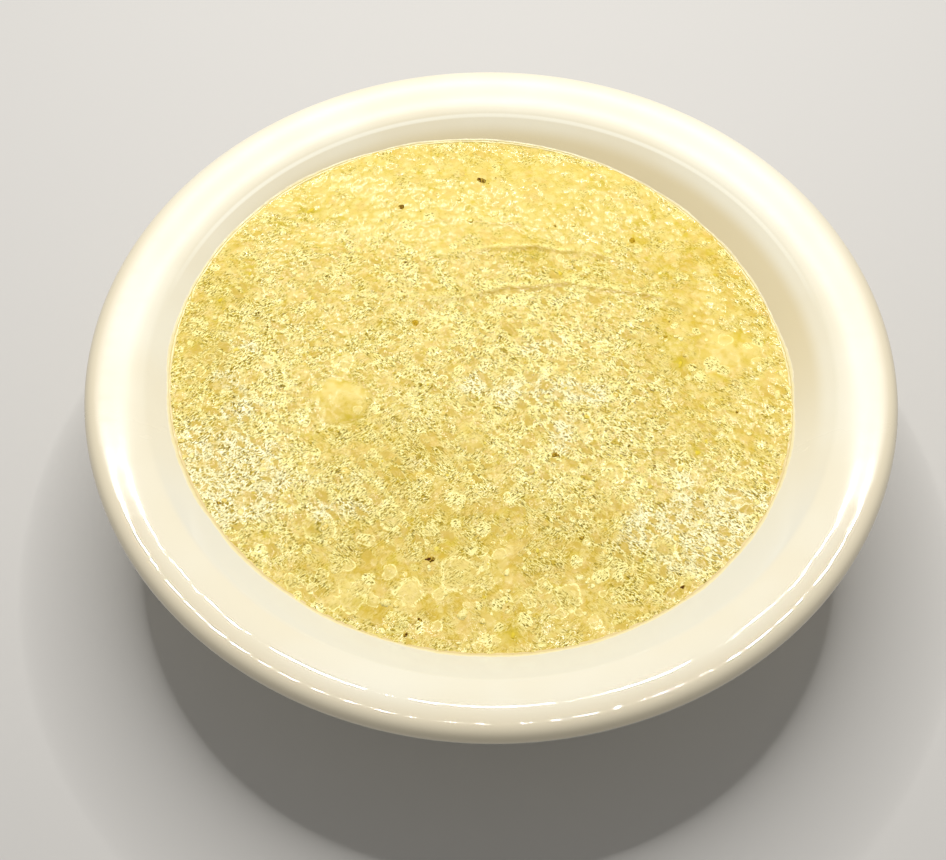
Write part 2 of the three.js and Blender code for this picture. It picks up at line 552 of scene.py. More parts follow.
around = np.linspace(0, 2 * pi, 8, endpoint=False)
print("edge heights in mm", np.round((EDGE_LEVEL + wave_height(1, around)) / MM, 1))

# %% [markdown]
# ## A disc of even cells
# The relief needs cells of one size all over, about a third of a grain. A square grid has them, and it
# is bent into a disc by turning each square ring of the grid into a round one. The last ring reaches a
# little way into the wall, because the wet starch creeps up the ware.

# %% Bend the grid into a disc
GRID = 300
CREEP = 0.45 * MM  # how far the starch climbs the wall
BITE = 0.12 * MM  # how far the edge reaches into the ware

grits_bm = bmesh.new()
bmesh.ops.create_grid(grits_bm, x_segments=GRID, y_segments=GRID, size=1)
square = np.array([vertex.co[:2] for vertex in grits_bm.verts])
across, along = square.T
share = np.maximum(np.abs(across), np.abs(along))
wide = np.abs(across) > np.abs(along)
with np.errstate(divide="ignore", invalid="ignore"):
    lean = np.nan_to_num(np.where(wide, along / across, across / along)) * pi / 4
azimuth = np.where(wide, lean + np.where(across < 0, pi, 0), pi / 2 - lean + np.where(along < 0, pi, 0))

edge_height = EDGE_LEVEL + wave_height(1, azimuth)
edge_radius = wall_radius(edge_height + CREEP) + BITE
radius = share * edge_radius
x, y = radius * np.cos(azimuth), radius * np.sin(azimuth)
to_wall = edge_radius - radius
print(len(x), "vertices, cells of about", round(float(np.sqrt(pi) * radius.max() / GRID / MM), 2), "mm")

# %% [markdown]
# ## Slow unevenness
# Porridge heaps and slumps. Random bumps from two centimetres down to three millimetres across give most
# of it, and folds run across the far half, where the last of the pour lay down over itself: each fold is
# a low step along a curve, steeper on its near side, with painted shade along its foot and a painted
# highlight along its top.

# %% Mounds and folds
SLOW_BUMPS = (  # height and width of the bumps, and the seed of each pattern
    (0.55 * MM, 19 * MM, 3.1), (0.22 * MM, 7.5 * MM, 8.7), (0.07 * MM, 3.1 * MM, 1.9),
)
FOLDS = (  # each fold's curve: centre x and y, radius, first and last direction in degrees, and height
    (9 * MM, -28 * MM, 63 * MM, 62, 116, 0.32 * MM),
    (16 * MM, -62 * MM, 86.6 * MM, 68, 114, 0.34 * MM),
    (-9 * MM, 12 * MM, 9.5 * MM, 48, 150, 0.2 * MM),
    (-4 * MM, -30 * MM, 72 * MM, 70, 112, 0.12 * MM),
)
FOLD_WIDTH = 1.3 * MM


def rough(scale, seed):
    """Random heights from -1 to 1 with bumps of about this size."""
    step = 1 / scale
    return np.array([noise.noise(Vector((a * step, b * step, seed))) for a, b in zip(x, y)])


def along_fold(x, y, fold):
    """How far outside a fold's curve each point lies, in fold widths, and the fold's strength there."""
    centre_x, centre_y, fold_radius, first, last, high = fold
    away = (np.hypot(x - centre_x, y - centre_y) - fold_radius) / FOLD_WIDTH
    direction = np.degrees(np.arctan2(y - centre_y, x - centre_x))
    middle, reach = (first + last) / 2, (last - first) / 2
    return away, np.clip(1 - ((direction - middle) / reach) ** 2, 0, 1), high


slow = sum(high * rough(scale, seed) for high, scale, seed in SLOW_BUMPS)
folds, groove_shade, crest_highlight = np.zeros_like(x), np.zeros_like(x), np.zeros_like(x)
wander_x = x + 1.2 * MM * rough(9 * MM, 5.5)
wander_y = y + 1.3 * MM * rough(8 * MM, 6.5) + 0.5 * MM * rough(2.4 * MM, 7.5)
for fold in FOLDS:
    away, strength, high = along_fold(wander_x, wander_y, fold)
    folds += high * strength * np.where(away > 0, np.exp(-away * 0.8), np.exp(-(away * 2.4) ** 2))
    # Painted shade runs along each fold's foot and a painted highlight along its top.
    broken = strength * np.clip(0.75 + 1.2 * rough(3 * MM, high / MM), 0, 1) * high / (0.3 * MM)
    groove_shade = np.maximum(groove_shade, broken * np.exp(-((away + 0.3) / 0.36) ** 2))
    crest_highlight = np.maximum(crest_highlight, broken * np.exp(-((away - 0.5) / 0.4) ** 2))
lowest, highest = float(slow.min() / MM), float((slow + folds).max() / MM)
print("slow relief from", round(lowest, 2), "to", round(highest, 2), "mm")

# %% [markdown]
# ### Lumps
# Three lumps stand out. Each is a low smooth dome with an uneven outline. Its near side gets a painted
# highlight along its edge, and painted shade runs just inside its outline, as on the folds.

# %% Raise the lumps
LUMPS = (  # x, y, radius and height of each lump, and how clearly its outline shows
    (-30.9 * MM, -6.9 * MM, 7.1 * MM, 0.8 * MM, 0.95),
    (50.4 * MM, 8.5 * MM, 7.2 * MM, 0.7 * MM, 0.12),
    (-4 * MM, -14.4 * MM, 4.4 * MM, 0.4 * MM, 0.3),
)

lump = np.zeros_like(x)
lump_height = np.zeros_like(x)
for lump_x, lump_y, lump_radius, high, outlined in LUMPS:
    away = np.hypot(x - lump_x, (y - lump_y) * 1.12) / lump_radius + 0.14 * rough(3.4 * MM, lump_x / MM)
    outlined *= np.clip(0.7 + 1.2 * rough(2.2 * MM, 3.3), 0, 1)
    dome = np.clip(1 - away ** 2, 0, 1)
    lump = np.maximum(lump, np.clip(dome * 1.4, 0, 1) * min(1, high / (0.75 * MM)))
    lump_height += high * dome ** 2
    # A painted highlight along the lump's near edge, and painted shade just inside its outline.
    near_side = np.clip(0.3 - (y - lump_y) / lump_radius, 0, 1) * outlined
    crest_highlight = np.maximum(crest_highlight, near_side * np.exp(-((away - 1.0) * lump_radius / (0.35 * MM)) ** 2))
    groove_shade = np.maximum(groove_shade, 0.6 * outlined * np.exp(-((away - 0.92) * lump_radius / (0.4 * MM)) ** 2))
print(len(LUMPS), "lumps, up to", round(float(lump_height.max() / MM), 2), "mm high")

# %% [markdown]
# ## Grains in the surface
# Cooked corn grits swell to soft grains, most of them about 1.5 mm across. They lie crowded in thick
# starch, some proud of it and some just under. Each grain is a low dome over an oval, at a jittered
# place, and a vertex takes the highest dome that covers it. Two attributes keep what the finish needs
# later: how far up a grain a point is, and a random number for each grain.

# %% Domes for the grains
GRAIN_SPACING = 1.75 * MM
GRAIN_JITTER = 0.42  # as a share of the spacing
GRAIN_RADIUS = (0.6 * MM, 1.5 * MM, 0.75 * MM)  # least, greatest and most usual
GRAIN_PROUD = (0.04, 0.15)  # how high a dome stands, as a share of its radius

random.seed(41)
nearest = kdtree.KDTree(len(x))
for index, point in enumerate(zip(x, y)):
    nearest.insert((point[0], point[1], 0), index)
nearest.balance()

grain = np.zeros_like(x)
grain_height = np.zeros_like(x)
tone = np.zeros_like(x)
reach = radius.max()
rows = int(2 * reach / GRAIN_SPACING)
grain_count = 0
for row in range(rows):
    for column in range(rows):
        jitter_x = random.uniform(-GRAIN_JITTER, GRAIN_JITTER)
        jitter_y = random.uniform(-GRAIN_JITTER, GRAIN_JITTER)
        seed_x = -reach + GRAIN_SPACING * (column + 0.5 * (row % 2) + jitter_x)
        seed_y = -reach + GRAIN_SPACING * (row + jitter_y)
        size = random.triangular(*GRAIN_RADIUS)
        stretch = random.uniform(1.0, 1.35)
        turn = random.uniform(0, pi)
        proud = random.uniform(*GRAIN_PROUD) * size
        number = random.random()
        if seed_x ** 2 + seed_y ** 2 > reach ** 2:
            continue
        grain_count += 1
        for place, index, _ in nearest.find_range((seed_x, seed_y, 0), size * stretch):
            dx, dy = place[0] - seed_x, place[1] - seed_y
            u = (dx * cos(turn) + dy * sin(turn)) / stretch
            v = -dx * sin(turn) + dy * cos(turn)
            cap = 1 - (u * u + v * v) / size ** 2
            if cap > 0 and cap * proud > grain_height[index]:
                grain_height[index] = cap * proud
                grain[index] = cap
                tone[index] = number
print(grain_count, "grains")

# %% [markdown]
# ## Swollen grains
# A few hundred grains have swollen to 1 to 3 mm across and lie proud, most of them in the near half.
# They are rounder and paler than the rest. Some are wider still, up to 7 mm, with a painted highlight
# round their outline, and some are crusted all over. Those two kinds are placed one by one, and the rest
# scattered.

# %% Swollen grains
SWOLLEN = 560
SWOLLEN_RADIUS = (0.6, 1.7, 0.7)  # least, greatest and most usual, in millimetres
SWOLLEN_PROUD = (0.06, 0.12)
RINGED_PROUD = 0.25 * MM
CRUSTED_PROUD = 0.15 * MM
# The ringed grains get a painted highlight round their outline.
RINGED_GRAINS = (  # x, y and radius of those with a bright outline
    (-5.2, -45.8, 3.8), (-14.7, -49.7, 2.9), (-26.0, -51.6, 2.6), (-33.0, -36.5, 3.0), (-19.0, -33.5, 2.7),
    (25.0, -22.0, 2.6), (-31.0, 3.0, 2.4), (34.0, -40.0, 3.0), (16.0, -50.0, 2.6), (-43.0, -14.0, 2.5),
    (-24.3, -49.0, 2.1), (-31.7, -46.6, 1.3), (-29.0, -52.3, 1.4), (-21.6, -51.9, 1.2), (-26.9, -44.4, 1.3),
    (-18.6, -45.4, 1.5), (-16.1, -56.5, 1.4), (-37.5, -48.0, 1.4),
)

CRUSTED_GRAINS = (  # x, y and radius of grains that are crusted all over with dried starch
    (46.8, 5.0, 1.7), (48.8, 3.4, 1.2), (44.0, 1.4, 1.3), (42.2, 4.0, 0.9), (-6.6, -29.5, 1.8),
    (21.7, -45.2, 1.5), (17.2, -42.4, 1.2), (7.3, -54.9, 1.5), (3.5, -50.9, 1.3), (-35.0, -20.0, 1.2),
    (25.5, -4.0, 1.4), (-46.0, 3.0, 1.4), (-12.0, 6.0, 1.2),
)

swollen_height = np.zeros_like(x)
swollen = np.full_like(x, -1.0)  # above 0 inside a swollen grain, 1 at its middle
paleness = np.zeros_like(x)


def swell(place, size, high, pale):
    """Raises one swollen grain with a dented outline."""
    bend = random.uniform(0, 10)
    for near, index, distance in nearest.find_range(place, size * 1.5):
        outline = 1 + 0.45 * noise.noise(Vector((near[0] / size, near[1] / size, bend)))
        cap = 1 - (distance / size / outline) ** 2
        if cap > swollen[index]:
            swollen_height[index] = high * max(cap, 0)
            swollen[index] = cap
            paleness[index] = pale


for ring_x, ring_y, ring_radius in RINGED_GRAINS:
    swell((ring_x * MM, ring_y * MM, 0), ring_radius * MM, RINGED_PROUD, 0.8)
for spot_x, spot_y, spot_radius in CRUSTED_GRAINS:
    swell((spot_x * MM, spot_y * MM, 0), spot_radius * MM, CRUSTED_PROUD, 0.9)
made = 0
while made < SWOLLEN:
    away, turn = reach * 0.975 * random.random() ** 0.5, random.uniform(0, 2 * pi)
    place = (away * cos(turn), away * sin(turn), 0)
    to_far_side = (place[1] + reach) / (2 * reach)
    if random.random() < 0.1 + 0.85 * to_far_side:
        continue
    made += 1
    size = random.triangular(*SWOLLEN_RADIUS) * MM
    swell(place, size, size * random.uniform(*SWOLLEN_PROUD), random.random())
print(made + len(RINGED_GRAINS) + len(CRUSTED_GRAINS), "swollen grains")

# %% [markdown]
# ## Lively and calm
# The surface isn't the same all over. Where grains crowd near the top it is lively, with pits and thin
# wet ridges, and there their painted glints and painted shade are strongest. Elsewhere thick starch
# covers them, and its full yellow shows. Two more attributes keep how lively each point is and how deep
# the gel lies there, as soft patches whose outlines wander. A third marks the soft lemon stains that bits
# of bran leave round themselves.

# %% Lively and calm zones
# Where the surface is livelier (+) or calmer (-) than elsewhere: x, y, half width, half depth, strength.
LIVELY_ZONES = (
    (-53, -27, 10, 14, 0.5), (42, -34, 17, 13, 0.5), (13, -4, 24, 18, 0.32), (-5, 24, 24, 6, 0.2),
    (-52, -2, 9, 16, 0.3), (-30, -30, 20, 10, 0.25), (-5, 48, 52, 15, -0.5), (47, 10, 11, 19, -0.4),
    (-6, -51, 27, 10, -0.2),
)
# Where the starch between the grains is deep and shows its full yellow.
GEL_ZONES = (
    (-9, -45, 30, 13, 0.9), (42, 7, 8, 17, 0.8), (-59, 12, 6, 25, 0.6), (-31, -14, 6, 2.5, 0.5),
    (8, 33, 16, 4, 0.4), (-20, -20, 14, 7, 0.5), (22, -40, 14, 9, 0.4), (46, 35, 10, 8, 0.5),
)


def zones(places, drift_x, drift_y):
    """Adds up soft oval patches whose outlines wander."""
    total = np.zeros_like(x)
    for zone_x, zone_y, half_width, half_depth, strength in places:
        across = (x + drift_x - zone_x * MM) / (half_width * MM)
        along = (y + drift_y - zone_y * MM) / (half_depth * MM)
        total += strength * np.exp(-(across ** 2 + along ** 2) * 0.9)
    return total


drift_x, drift_y = 6 * MM * rough(9 * MM, 12.3), 6 * MM * rough(9 * MM, 17.9)
lively = 0.6 + zones(LIVELY_ZONES, drift_x, drift_y) + 0.3 * rough(6 * MM, 31.0) - 0.5 * lump
lively = np.clip(lively, 0.12, 1.0)
gel = np.clip(0.12 + zones(GEL_ZONES, drift_x, drift_y) + 0.35 * rough(5 * MM, 45.0), 0.0, 1.0)
STAINS = (  # x, y, half width and half depth of each stain
    (5.1, -58.1, 1.5, 2.2), (-40.9, 43.0, 2.6, 1.5), (-58.1, 17.2, 1.6, 1.8), (37.6, 10.6, 1.9, 1.4),
    (39.8, 4.5, 1.9, 2.0), (42.0, -17.5, 1.9, 1.9), (-34.5, 40.5, 2.0, 1.1), (-47.0, 38.5, 1.6, 1.6),
    (-52.5, 25.0, 1.6, 2.8), (-56.0, 21.0, 1.6, 1.2), (24.0, 53.0, 2.0, 1.2), (33.5, 43.0, 1.7, 1.3),
    (4.0, 32.0, 1.8, 1.0), (9.5, 32.5, 1.5, 1.0), (-24.5, -52.5, 1.7, 1.4), (-33.5, -37.0, 1.8, 1.4),
    (53.5, 13.5, 1.7, 1.4), (-29.0, -1.5, 1.9, 1.2), (-27.5, -11.5, 2.2, 1.1), (-62.0, 6.0, 1.4, 1.6),
)
stain_x, stain_y = 1.6 * MM * rough(1.5 * MM, 61.0), 1.6 * MM * rough(1.5 * MM, 67.0)
stain = np.clip(zones([(*place, 1.0) for place in STAINS], stain_x, stain_y), 0, 1)
print("lively", round(float(lively.mean()), 2), "gel", round(float(gel.mean()), 2))

# %% [markdown]
# ## Put the relief together
# Lumps are smooth, so grains fade out on them. At the wall the wet starch creeps up a little. Afterwards
# the edge is run down the wall and closed underneath, so that the grits are one solid in the bowl.

# %% Shape the surface
SLOW_FADE = 3 * MM  # nearer to the wall than this, the slow relief dies out
GRAIN_START = 0.3 * MM  # nearer than this, no grain stands up
GRAIN_FADE = 1.1 * MM
CREEP_WIDTH = 0.4 * MM

height = EDGE_LEVEL + wave_height(share, azimuth) + np.minimum(1, to_wall / SLOW_FADE) * (slow + folds)
settled = np.clip((to_wall - GRAIN_START) / GRAIN_FADE, 0, 1)
height += lump_height + settled * (grain_height * (1 - 0.85 * lump) + swollen_height)
height += CREEP * np.exp(-to_wall / CREEP_WIDTH)
for vertex, place in zip(grits_bm.verts, zip(x, y, height)):
    vertex.co = place
print("surface from", round(height.min() / MM, 1), "to", round(height.max() / MM, 1), "mm")

# %% [markdown]
# ### Close it
# The hidden part needs no detail: three extruded rings and one flat face. The patterns are kept on the
# mesh as attributes, with zeros for the hidden points.

# %% Close the heap and keep its patterns
HIDDEN_RINGS = ((0.94, 27 * MM), (0.76, 17 * MM), (0.45, grits_low.z))  # share of the radius, and height


def grits_floor(bm):
    """Runs the open edge down the wall in rings, and closes it with one flat face."""
    border = [edge for edge in bm.edges if edge.is_boundary]
    for shrink, z in HIDDEN_RINGS:
        made = bmesh.ops.extrude_edge_only(bm, edges=border)["geom"]
        border = [item for item in made if isinstance(item, bmesh.types.BMEdge) and item.is_boundary]
        below = {vertex for edge in border for vertex in edge.verts}
        for vertex in below:
            away = Vector((vertex.co.x, vertex.co.y, 0)).normalized()
            vertex.co = away * shrink * SURFACE_RADIUS * MM
            vertex.co.z = z
    bmesh.ops.contextual_create(bm, geom=border)


surface_count = len(grits_bm.verts)
grits_floor(grits_bm)
bmesh.ops.recalc_face_normals(grits_bm, faces=grits_bm.faces)
grits = finished(grits_bm, "grits_heap")
patterns = {
    "grain": grain, "tone": tone, "swollen": swollen, "paleness": paleness, "lively": lively, "gel": gel,
    "stain": stain, "lump": lump, "groove_shade": groove_shade, "crest_highlight": crest_highlight,
}
hidden_points = len(grits.data.vertices) - surface_count
for name, values in patterns.items():
    attribute = grits.data.attributes.new(name, "FLOAT", "POINT")
    attribute.data.foreach_set("value", np.append(values, np.zeros(hidden_points)))
triangles = sum(len(face.vertices) - 2 for face in grits.data.polygons)
print("grits heap of", triangles, "triangles")
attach(grits, "root")
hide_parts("grits")

# %% [markdown]
# ## The finish of the grits
# Seen close, grits are pale grains, each a little different, and the deeper yellow starch between them.
# Thin crooked wet ridges run round the grains, and tiny pits lie beside them; the glints of the ridges
# and the shade of both are painted into the colour. One painted map couldn't be this fine, so the finish
# is layered from patterns: first the starch, then the grains, then the painted shade and highlights of
# the ridges and pits. The attributes of the mesh say where each of them is strong.

# %% The colours of the grits
STARCH = linear(216, 184, 66)
STARCH_PALE = linear(232, 209, 108)
STARCH_DEEP = linear(211, 178, 46)
STARCH_LEMON = linear(214, 188, 40)
STARCH_TAN = linear(232, 200, 111)
BRAN_STAIN = linear(206, 180, 24)
GRAIN_PALE = linear(246, 226, 144)
BETWEEN_GRAINS = linear(184, 161, 30)
OLIVE_SHADE = linear(154, 131, 2)
# Painted shade for the grooves at the folds' feet.
FOLD_GROOVE_SHADE = linear(188, 156, 42)
GOLDEN_DROP = linear(204, 174, 66)
LUMP_YELLOW = linear(222, 194, 76)
LUMP_PALE = linear(241, 218, 130)
# Painted shade for the pits.
PIT_SHADE = linear(112, 92, 0)
# Painted highlights for the glints on the wet ridges.
GLINT_LIGHT = linear(255, 245, 164)
GLINT_WHITE = linear(255, 250, 197)


def sockets(group, *rows):
    """Gives a node group its named inputs and outputs, and returns its two end nodes."""
    kinds = {"vector": "NodeSocketVector", "value": "NodeSocketFloat"}
    for name, kind, way in rows:
        group.interface.new_socket(name, socket_type=kinds[kind], in_out=way)
    return group.nodes.new("NodeGroupInput").outputs, group.nodes.new("NodeGroupOutput").inputs


# %% [markdown]
# ### Packed grains
# The small grains are too fine for the mesh to draw sharply, so a cell pattern draws them. It is a node
# group, because it could serve any granular food: it gives a dome for each grain, from 0 between grains
# to 1 on top, and a random tone for each.

# %% A group for packed grains
def packed_grains_group():
    group = bpy.data.node_groups.new("packed_grains", "ShaderNodeTree")
    entry, leave = sockets(
        group, ("Place", "vector", "INPUT"), ("Grains per mm", "value", "INPUT"),
        ("Dome", "value", "OUTPUT"), ("Tone", "value", "OUTPUT"),
    )
    cells = add(group, "TexVoronoi", feature="SMOOTH_F1", in_0=entry[0], in_2=entry[1], in_5=0.5).outputs
    away = times(group, cells["Distance"], 1.35)
    feed(group, leave[0], without(group, times(group, away, away)))
    feed(group, leave[1], add(group, "SeparateColor", in_0=cells["Color"]).outputs[0])
    return group


packed_grains = packed_grains_group()
print(packed_grains.name, "is a group of", len(packed_grains.nodes), "nodes")


def grains_of(tree, place, size):
    """The dome and the tone of packed grains of a size in millimetres."""
    node = add(tree, "Group", node_tree=packed_grains)
    feed(tree, node.inputs["Place"], place)
    node.inputs["Grains per mm"].default_value = 1 / size
    return node.outputs["Dome"], node.outputs["Tone"]


# %% [markdown]
# ### Crooked lines
# Where a noise passes through its middle value it draws one endless crooked line, as the glint on the
# wet edge round crowded grains does. The group gives that line, for a painted highlight, and beside it a
# second one for its painted shaded side. The grits and the loose grains both use it.

# %% A group for crooked lines
def crooked_lines_group():
    group = bpy.data.node_groups.new("crooked_lines", "ShaderNodeTree")
    entry, leave = sockets(
        group, ("Place", "vector", "INPUT"), ("Lines per mm", "value", "INPUT"), ("Width", "value", "INPUT"),
        ("Line", "value", "OUTPUT"), ("Shade", "value", "OUTPUT"),
    )
    hills = add(group, "TexNoise", in_0=entry[0], in_2=entry[1], in_3=1.0, in_4=0.4).outputs[0]
    for offset, output in ((0.0, leave[0]), (-1.7, leave[1])):
        level = plus(group, arithmetic(group, "SUBTRACT", hills, 0.5), times(group, entry[2], offset))
        away = arithmetic(group, "ABSOLUTE", level)
        feed(group, output, band(group, band(group, away, 0.0, entry[2], 1.0, 0.0), 0.2, 0.65))
    return group


crooked_lines = crooked_lines_group()
print(crooked_lines.name, "is a group of", len(crooked_lines.nodes), "nodes")


def lines_of(tree, place, size, width):
    """The masks of crooked lines of a size in millimetres, and of their shaded side."""
    node = add(tree, "Group", node_tree=crooked_lines)
    feed(tree, node.inputs["Place"], place)
    node.inputs["Lines per mm"].default_value = 1 / size
    node.inputs["Width"].default_value = width
    return node.outputs["Line"], node.outputs["Shade"]


# %% [markdown]
# ### The starch
# It is paler where the surface is calm and golden where it is deep. Faint tan and lemon clouds keep it
# from being one flat colour, the lumps have their own yellow, and bran leaves lemon stains.

# %% The starch's colour
TAN_CLOUDS = {"size": 3.0, "shift": (31, 12, 0), "low": 0.46, "high": 0.66}


def cloud(tree, place, size, shift=(0, 0, 0), low=0.4, high=0.6, strength=1.0):
    """Soft patches of a size in millimetres, 0 outside and strength inside."""
    moved = add(tree, "Mapping", in_0=place, in_1=shift).outputs[0]
    return band(tree, noise_of(tree, moved, size), low, high, 0.0, strength)


def starch_colour(tree, place, lively, gel):
    colour = blend(tree, band(tree, lively, 0.15, 0.75), STARCH_PALE, STARCH)
    deep = cloud(tree, place, 4.0, low=0.36, high=0.6)
    colour = blend(tree, times(tree, deep, band(tree, gel, 0.0, 0.7, 0.1, 1.0)), colour, STARCH_DEEP)
    colour = blend(tree, cloud(tree, place, **TAN_CLOUDS, strength=0.75), colour, STARCH_TAN)
    colour = blend(tree, cloud(tree, place, 3.4, (-17, 44, 0), 0.56, 0.72, 0.8), colour, STARCH_LEMON)
    lump_colour = blend(tree, cloud(tree, place, 3.6), LUMP_YELLOW, LUMP_PALE)
    colour = blend(tree, times(tree, attribute_of(tree, "lump"), 0.8), colour, lump_colour)
    return blend(tree, times(tree, attribute_of(tree, "stain"), 0.9), colour, BRAN_STAIN)


# %% [markdown]
# ### The grains
# Each grain is paler than the starch, in its own degree. Three sizes lie over each other: the finest
# ones of the cell pattern, then the domes and the swollen grains that the mesh has.

# %% The grains' colour
def grain_colour(tree, place, colour, gel):
    dome, dome_tone = grains_of(tree, place, 1.35)
    small = times(tree, band(tree, dome, 0.45, 0.95), band(tree, dome_tone, 0.35, 0.75, 0.0, 0.5))
    small = times(tree, small, band(tree, gel, 0.2, 0.9, 1.0, 0.4))
    colour = blend(tree, small, colour, GRAIN_PALE)
    own_tone = band(tree, attribute_of(tree, "tone"), 0.3, 1.0, 0.0, 0.6)
    proud = times(tree, band(tree, attribute_of(tree, "grain"), 0.0, 0.8), own_tone)
    colour = blend(tree, proud, colour, GRAIN_PALE)
    own_paleness = band(tree, attribute_of(tree, "paleness"), 0.1, 1.0, 0.1, 0.6)
    inside = band(tree, attribute_of(tree, "swollen"), -0.2, 0.4)
    return blend(tree, times(tree, inside, own_paleness), colour, GRAIN_PALE), dome


# %% [markdown]
# ### Which way the surface was dragged
# As the grits were poured and settled, the ridges were drawn out slantwise, one way on the left and the
# other way on the right, with patches of both between, and their painted glints follow the same slant.
# Stretched and turned coordinates give each way, and a slow noise chooses between them.

# %% Drawn out patterns
DRAG_RISING = radians(42)
DRAG_FALLING = radians(-38)
DRAG_STRETCH = (1.8, 0.8, 1.0)
DROP_STRETCH = (1.4, 0.85, 1.0)
FINE_SIZE = 0.34  # in millimetres, as the next
RIDGE_SIZE = 0.58
RIDGE_WIDTH = 0.1  # as a share of the noise's whole range


def drawn_out(tree, place, turn, stretch):
    """Coordinates in which a pattern is drawn out along one direction."""
    node = add(tree, "Mapping", vector_type="TEXTURE", in_0=place, in_2=(0, 0, turn), in_3=stretch)
    return node.outputs[0]


def either(tree, side, first, second):
    """The first pattern where side is 0 and the second where it is 1."""
    node = add(tree, "Mix", data_type="FLOAT", in_0=side)
    feed(tree, node.inputs[2], first)
    feed(tree, node.inputs[3], second)
    return node.outputs[0]


def dragged_patterns(tree, place):
    """Fine noise, crooked lines and their shade, all drawn out the way the surface was dragged."""
    rising = drawn_out(tree, place, DRAG_RISING, DRAG_STRETCH)
    falling = drawn_out(tree, place, DRAG_FALLING, DRAG_STRETCH)
    to_right = add(tree, "SeparateXYZ", in_0=place).outputs[0]
    slow = plus(tree, noise_of(tree, place, 4.5, 1.0), times(tree, to_right, 0.003))
    side = band(tree, slow, 0.47, 0.53)
    rising_fine = noise_of(tree, rising, FINE_SIZE, 1.0)
    falling_fine = noise_of(tree, falling, FINE_SIZE, 1.0)
    fine = either(tree, side, rising_fine, falling_fine)
    rising_line, rising_shade = lines_of(tree, rising, RIDGE_SIZE, RIDGE_WIDTH)
    falling_line, falling_shade = lines_of(tree, falling, RIDGE_SIZE, RIDGE_WIDTH)
    glint_line = either(tree, side, rising_line, falling_line)
    shade = either(tree, side, rising_shade, falling_shade)
    return fine, glint_line, shade


# %% [markdown]
# ### How crowded each spot is
# Ridges and pits come in crowds. A slow noise makes the crowds and the lively attribute feeds them. Deep
# gel, the tan clouds of the starch and the smooth lumps thin them out. Crusted grains are crowded all over.

# %% The crowding
def crowding(tree, place, lively, gel):
    """Two masks: where ridges and pits crowd, and where a grain is crusted."""
    hills = arithmetic(tree, "SUBTRACT", noise_of(tree, place, 4.2), 0.35)
    crowd = plus(tree, times(tree, hills, 2.6), times(tree, lively, 0.6))
    crowd = times(
        tree, band(tree, crowd, 0.45, 0.95, 0.3, 1.0), band(tree, lively, 0.1, 0.8, 0.45, 1.0),
        band(tree, gel, 0.45, 0.9, 1.0, 0.85),
    )
    inside = band(tree, attribute_of(tree, "swollen"), -0.1, 0.3)
    crust = times(tree, inside, band(tree, attribute_of(tree, "paleness"), 0.78, 0.86))
    smooth = band(tree, attribute_of(tree, "lump"), 0.15, 0.9, 1.0, 0.4)
    patch = cloud(tree, place, **TAN_CLOUDS)
    calm_patch = without(tree, times(tree, patch, band(tree, lively, 0.7, 0.95, 0.42, 0.1)))
    return times(tree, most(tree, times(tree, crowd, calm_patch), crust), smooth), crust


# %% [markdown]
# ### Drops of clear gel
# Between the ridges stand golden drops, 2 to 4 mm long and drawn out as the grits ran, each with a
# painted highlight along its thin border. They are the middles of warped cells, and the border is the
# cells' edge.

# %% The drops
DROP_SIZE = 2.6  # in millimetres
DROP_WARP = (1.6, 1.6, 0)  # how far their cells are bent out of shape, in millimetres


def gel_drops(tree, place, gel):
    """The mask of the drops and that of the painted highlights along the borders between them."""
    bend = add(tree, "TexNoise", in_0=place, in_2=1 / 1.5, in_3=1.0).outputs[1]
    streaked = drawn_out(tree, place, DRAG_FALLING, DROP_STRETCH)
    warp = add(tree, "VectorMath", operation="MULTIPLY_ADD", in_0=bend, in_1=DROP_WARP, in_2=streaked)
    crooked = warp.outputs[0]
    edge = add(tree, "TexVoronoi", feature="DISTANCE_TO_EDGE", in_0=crooked, in_2=1 / DROP_SIZE).outputs[0]
    cells = add(tree, "TexVoronoi", in_0=crooked, in_2=1 / DROP_SIZE).outputs
    chosen = add(tree, "SeparateColor", in_0=cells["Color"]).outputs[1]
    drop = times(tree, band(tree, edge, 0.12, 0.26), band(tree, chosen, 0.45, 0.6), 0.9)
    # The border is a painted highlight along the cells' edge.
    border = times(tree, band(tree, edge, 0.0, 0.12, 1.0, 0.0), band(tree, gel, 0.0, 0.8, 1.0, 0.4))
    return drop, border


# %% [markdown]
# ### Ridges and pits
# Last come the dark and the bright. Crowded ground darkens, each ridge gets its painted olive shade and
# each pit its painted brown shade, and then painted highlights lie on top: glints along the ridges
# themselves and along the drops' borders, white glare in the liveliest places, broken rings round the
# swollen grains, and the crumbs on crusted ones, which take the same pale colour.

# %% The ridges' colour
def outline_highlight(tree, lively, grainy):
    """A broken painted highlight round each pale swollen grain."""
    from_edge = arithmetic(tree, "SUBTRACT", attribute_of(tree, "swollen"), 0.05)
    near_edge = arithmetic(tree, "ABSOLUTE", from_edge)
    glint_line = times(tree, band(tree, near_edge, 0.08, 0.34, 1.0, 0.0), grainy)
    pale = band(tree, attribute_of(tree, "paleness"), 0.3, 0.7)
    return times(tree, glint_line, pale, band(tree, lively, 0.2, 0.6, 0.75, 1.0))


